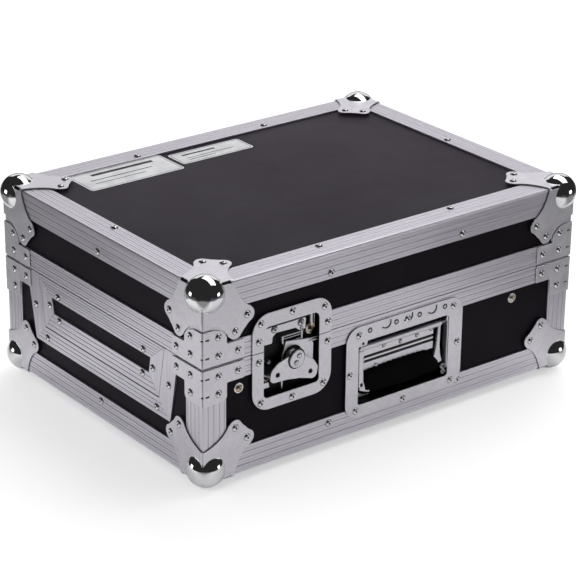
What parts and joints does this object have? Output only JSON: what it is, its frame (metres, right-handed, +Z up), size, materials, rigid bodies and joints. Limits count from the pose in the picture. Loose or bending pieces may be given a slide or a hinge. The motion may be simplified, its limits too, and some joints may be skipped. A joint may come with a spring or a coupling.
{
  "type": "dj mixer flight case",
  "caption": "Black laminated road case for a DJ mixer with ball corners, twist latches, spring handle, hinged lid and a lift-out V door",
  "frame": {"origin": "bottom centre, on the plane the rubber feet stand on", "axes": "+Z up, +Y along the length towards the hinge, -Y is the V door end, +X is the side with the carrying handle"},
  "size_m": [0.3942, 0.5256, 0.2377],
  "materials": {
    "laminated_board": "black laminate on plywood, fine satin grain",
    "edge_aluminium": "satin anodised, grooved lengthwise",
    "corner_chrome": "zinc plated wings with a mirror bright ball",
    "zinc_steel": "satin zinc plate",
    "grip_rubber": "matt moulded rubber",
    "foot_rubber": "matt rubber",
    "lining_foam": "charcoal open-cell foam"
  },
  "bodies": {
    "base": {"base_back_board": "laminated_board", "base_ball_corner_back_left": "corner_chrome", "base_ball_corner_back_right": "corner_chrome", "base_ball_corner_front_left": "corner_chrome", "base_ball_corner_front_right": "corner_chrome", "base_brace_back_left": "zinc_steel", "base_brace_back_right": "zinc_steel", "base_brace_front_left": "zinc_steel", "base_brace_front_right": "zinc_steel", "base_edge_extrusion": "edge_aluminium", "base_floor_board": "laminated_board", "base_foam_tray": "lining_foam", "base_front_board": "laminated_board", "base_groove_extrusion": "edge_aluminium", "base_hinge_leaf": "zinc_steel", "base_latch_dish_left": "zinc_steel", "base_latch_dish_right": "zinc_steel", "base_left_board": "laminated_board", "base_right_board": "laminated_board", "corner_post_back_left": "edge_aluminium", "corner_post_back_right": "edge_aluminium", "corner_post_front_left": "edge_aluminium", "corner_post_front_right": "edge_aluminium", "door_surround": "edge_aluminium", "foot_back_left": "foot_rubber", "foot_back_right": "foot_rubber", "foot_front_left": "foot_rubber", "foot_front_right": "foot_rubber", "handle_dish": "zinc_steel", "handle_spring": "zinc_steel", "hinge_pin": "zinc_steel"},
    "handle": {"handle_bail": "zinc_steel", "handle_grip": "grip_rubber"},
    "latch_left_hook": {"latch_hook_left": "zinc_steel"},
    "latch_right_hook": {"latch_hook_right": "zinc_steel"},
    "latch_left_spindle": {"latch_spindle_left": "zinc_steel"},
    "latch_right_spindle": {"latch_spindle_right": "zinc_steel"},
    "latch_left_wing": {"latch_wing_left": "zinc_steel"},
    "latch_right_wing": {"latch_wing_right": "zinc_steel"},
    "lid": {"lid_back_board": "laminated_board", "lid_ball_corner_back_left": "corner_chrome", "lid_ball_corner_back_right": "corner_chrome", "lid_ball_corner_front_left": "corner_chrome", "lid_ball_corner_front_right": "corner_chrome", "lid_brace_back_left": "zinc_steel", "lid_brace_back_right": "zinc_steel", "lid_brace_front_left": "zinc_steel", "lid_brace_front_right": "zinc_steel", "lid_edge_extrusion": "edge_aluminium", "lid_foam_pad": "lining_foam", "lid_front_board": "laminated_board", "lid_hinge_leaf": "zinc_steel", "lid_latch_keeper_left": "zinc_steel", "lid_latch_keeper_right": "zinc_steel", "lid_left_board": "laminated_board", "lid_right_board": "laminated_board", "lid_tongue_extrusion": "edge_aluminium", "lid_top_board": "laminated_board"},
    "v_door": {"v_door_frame": "edge_aluminium", "v_door_panel": "laminated_board"}
  },
  "joints": [
    {"name": "lid_hinge", "type": "hinge", "parent": "base", "child": "lid", "pos_m": [0, 0.2584, 0.141], "axis": [-1, 0, 0], "range_deg": [0, 100]},
    {"name": "v_door_lift", "type": "slide", "parent": "base", "child": "v_door", "axis": [0, 0, 1], "range_m": [0, 0.07]},
    {"name": "handle_swing", "type": "hinge", "parent": "base", "child": "handle", "pos_m": [0.1823, 0.0115, 0.1058], "axis": [0, -1, 0], "range_deg": [0, 90]},
    {"name": "latch_right_turn", "type": "hinge", "parent": "base", "child": "latch_right_spindle", "pos_m": [0.1893, -0.1372, 0.123], "axis": [1, 0, 0], "range_deg": [0, 180]},
    {"name": "latch_right_fold", "type": "hinge", "parent": "latch_right_spindle", "child": "latch_right_wing", "pos_m": [0.1909, -0.1363, 0.12893], "axis": [0, -0.9888, 0.1495], "range_deg": [0, 90]},
    {"name": "latch_right_hook_travel", "type": "slide", "parent": "base", "child": "latch_right_hook", "axis": [0, 0, 1], "range_m": [0, 0.005]},
    {"name": "latch_left_turn", "type": "hinge", "parent": "base", "child": "latch_left_spindle", "pos_m": [-0.1893, -0.1372, 0.123], "axis": [-1, 0, 0], "range_deg": [0, 180]},
    {"name": "latch_left_fold", "type": "hinge", "parent": "latch_left_spindle", "child": "latch_left_wing", "pos_m": [-0.1909, -0.1363, 0.12893], "axis": [0, 0.9888, -0.1495], "range_deg": [0, 90]},
    {"name": "latch_left_hook_travel", "type": "slide", "parent": "base", "child": "latch_left_hook", "axis": [0, 0, 1], "range_m": [0, 0.005]}
  ],
  "couplings": [
    {"joint": "v_door_lift", "follows": "lid_hinge", "m_per_rad": 0.0401},
    {"joint": "latch_right_hook_travel", "follows": "latch_right_turn", "m_per_rad": 0.00159},
    {"joint": "latch_left_hook_travel", "follows": "latch_left_turn", "m_per_rad": 0.00159}
  ]
}
